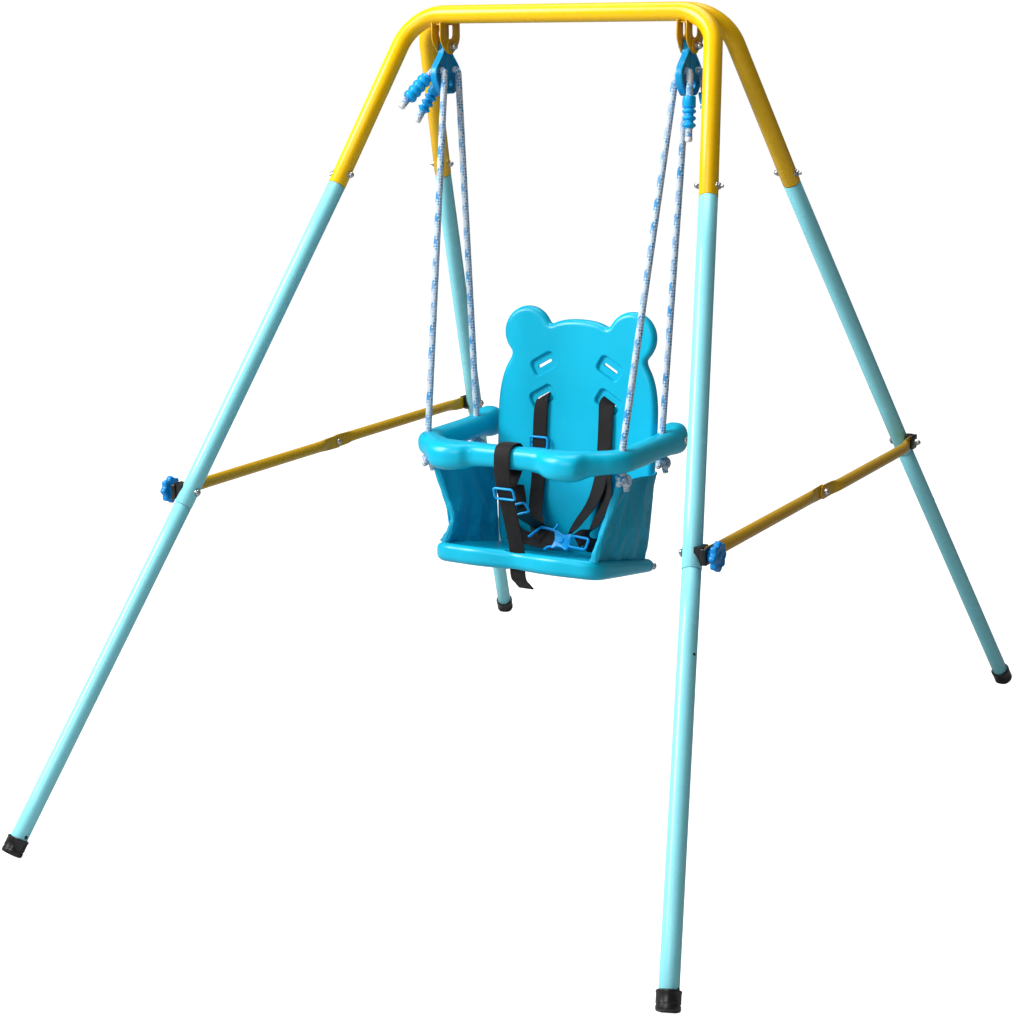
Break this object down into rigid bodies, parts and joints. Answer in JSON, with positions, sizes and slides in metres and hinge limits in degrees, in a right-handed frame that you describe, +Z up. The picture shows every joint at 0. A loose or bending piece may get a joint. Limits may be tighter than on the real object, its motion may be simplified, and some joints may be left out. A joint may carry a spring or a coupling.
{
  "type": "swing set",
  "caption": "Folding steel A-frame with a toddler bucket seat on adjustable ropes, a guard bar, a harness and hinged side braces.",
  "frame": {"origin": "on the ground, midway between the four feet and straight below the two pivot bolts", "axes": "+Z up; X along the crossbars; the seated child faces -Y; names with left are at -X and right at +X; the front half of the frame stands on the -Y side"},
  "size_m": [1.0916, 1.5166, 1.2209],
  "materials": {
    "yellow_paint": "glossy powder coat",
    "blue_paint": "glossy powder coat",
    "black_rubber": "matt moulded",
    "zinc_steel": "bright zinc plate",
    "blue_plastic": "satin moulded",
    "seat_plastic": "semi-gloss blow moulded",
    "side_fabric": "woven polyester",
    "webbing": "flat woven webbing",
    "rope_fibre": "braided cord with coloured flecks"
  },
  "bodies": {
    "front_frame": {"front_top_tube": "yellow_paint", "front_left_middle_tube": "blue_paint", "front_left_lower_tube": "blue_paint", "front_left_foot_cap": "black_rubber", "front_left_tube_screw": "zinc_steel", "front_left_hinge_lug": "yellow_paint", "front_left_brace_saddle": "black_rubber", "front_right_middle_tube": "blue_paint", "front_right_lower_tube": "blue_paint", "front_right_foot_cap": "black_rubber", "front_right_tube_screw": "zinc_steel", "front_right_hinge_lug": "yellow_paint", "front_right_brace_saddle": "black_rubber", "left_pivot_bolt": "zinc_steel", "right_pivot_bolt": "zinc_steel", "left_knob_bolt": "zinc_steel", "right_knob_bolt": "zinc_steel"},
    "rear_frame": {"rear_top_tube": "yellow_paint", "rear_left_middle_tube": "blue_paint", "rear_left_lower_tube": "blue_paint", "rear_left_foot_cap": "black_rubber", "rear_left_tube_screw": "zinc_steel", "rear_left_hinge_lug": "yellow_paint", "rear_left_brace_saddle": "black_rubber", "rear_right_middle_tube": "blue_paint", "rear_right_lower_tube": "blue_paint", "rear_right_foot_cap": "black_rubber", "rear_right_tube_screw": "zinc_steel", "rear_right_hinge_lug": "yellow_paint", "rear_right_brace_saddle": "black_rubber", "left_brace_bolt": "zinc_steel", "right_brace_bolt": "zinc_steel"},
    "left_knob_turn": {"left_knob": "blue_plastic"},
    "left_front_link": {"left_front_brace": "yellow_paint", "left_brace_rivet": "zinc_steel"},
    "left_rear_link": {"left_rear_brace": "yellow_paint", "left_brace_nut": "zinc_steel"},
    "right_knob_turn": {"right_knob": "blue_plastic"},
    "right_front_link": {"right_front_brace": "yellow_paint", "right_brace_rivet": "zinc_steel"},
    "right_rear_link": {"right_rear_brace": "yellow_paint", "right_brace_nut": "zinc_steel"},
    "swing": {"left_hanger": "blue_plastic", "right_hanger": "blue_plastic", "front_left_rope": "rope_fibre", "front_right_rope": "rope_fibre", "rear_left_rope": "rope_fibre", "rear_right_rope": "rope_fibre", "guard_bar": "seat_plastic", "backrest": "seat_plastic", "seat_pan": "seat_plastic", "left_side_fabric": "side_fabric", "right_side_fabric": "side_fabric", "crotch_strap": "webbing", "shoulder_straps": "webbing", "harness_buckle": "blue_plastic"},
    "front_left_slider": {"front_left_rope_adjuster": "blue_plastic"},
    "front_right_slider": {"front_right_rope_adjuster": "blue_plastic"},
    "rear_left_slider": {"rear_left_rope_adjuster": "blue_plastic"},
    "rear_right_slider": {"rear_right_rope_adjuster": "blue_plastic"}
  },
  "joints": [
    {"name": "rear_frame_fold", "type": "hinge", "parent": "front_frame", "child": "rear_frame", "pos_m": [0, 0, 1.1573], "axis": [1, 0, 0], "range_deg": [-50, 0]},
    {"name": "swing_pivot", "type": "hinge", "parent": "front_frame", "child": "swing", "pos_m": [0, 0, 1.1573], "axis": [1, 0, 0], "range_deg": [-35, 35]},
    {"name": "left_front_brace_fold", "type": "hinge", "parent": "front_frame", "child": "left_front_link", "pos_m": [-0.4171, -0.432, 0.5008], "axis": [1, 0, 0], "range_deg": [0, 50]},
    {"name": "left_rear_brace_fold", "type": "hinge", "parent": "left_front_link", "child": "left_rear_link", "pos_m": [-0.4171, 0, 0.5008], "axis": [1, 0, 0], "range_deg": [-150, 0]},
    {"name": "left_knob_spin", "type": "hinge", "parent": "front_frame", "child": "left_knob_turn", "pos_m": [-0.4386, -0.432, 0.5008], "axis": [1, 0, 0], "continuous": true},
    {"name": "right_front_brace_fold", "type": "hinge", "parent": "front_frame", "child": "right_front_link", "pos_m": [0.4171, -0.432, 0.5008], "axis": [1, 0, 0], "range_deg": [0, 50]},
    {"name": "right_rear_brace_fold", "type": "hinge", "parent": "right_front_link", "child": "right_rear_link", "pos_m": [0.4171, 0, 0.5008], "axis": [1, 0, 0], "range_deg": [-150, 0]},
    {"name": "right_knob_spin", "type": "hinge", "parent": "front_frame", "child": "right_knob_turn", "pos_m": [0.4386, -0.432, 0.5008], "axis": [1, 0, 0], "continuous": true},
    {"name": "front_left_adjuster_slide", "type": "slide", "parent": "swing", "child": "front_left_slider", "axis": [-0.3811, -0.6017, -0.702], "range_m": [0, 0.012]},
    {"name": "front_right_adjuster_slide", "type": "slide", "parent": "swing", "child": "front_right_slider", "axis": [0.0782, -0.1955, -0.9776], "range_m": [0, 0.012]},
    {"name": "rear_left_adjuster_slide", "type": "slide", "parent": "swing", "child": "rear_left_slider", "axis": [-0.4187, -0.2991, -0.8574], "range_m": [0, 0.012]},
    {"name": "rear_right_adjuster_slide", "type": "slide", "parent": "swing", "child": "rear_right_slider", "axis": [0.138, 0.0986, -0.9855], "range_m": [0, 0.012]}
  ],
  "couplings": [
    {"joint": "left_front_brace_fold", "follows": "rear_frame_fold", "ratio": -0.9937},
    {"joint": "left_rear_brace_fold", "follows": "rear_frame_fold", "ratio": 2.9875},
    {"joint": "right_front_brace_fold", "follows": "rear_frame_fold", "ratio": -0.9937},
    {"joint": "right_rear_brace_fold", "follows": "rear_frame_fold", "ratio": 2.9875}
  ]
}
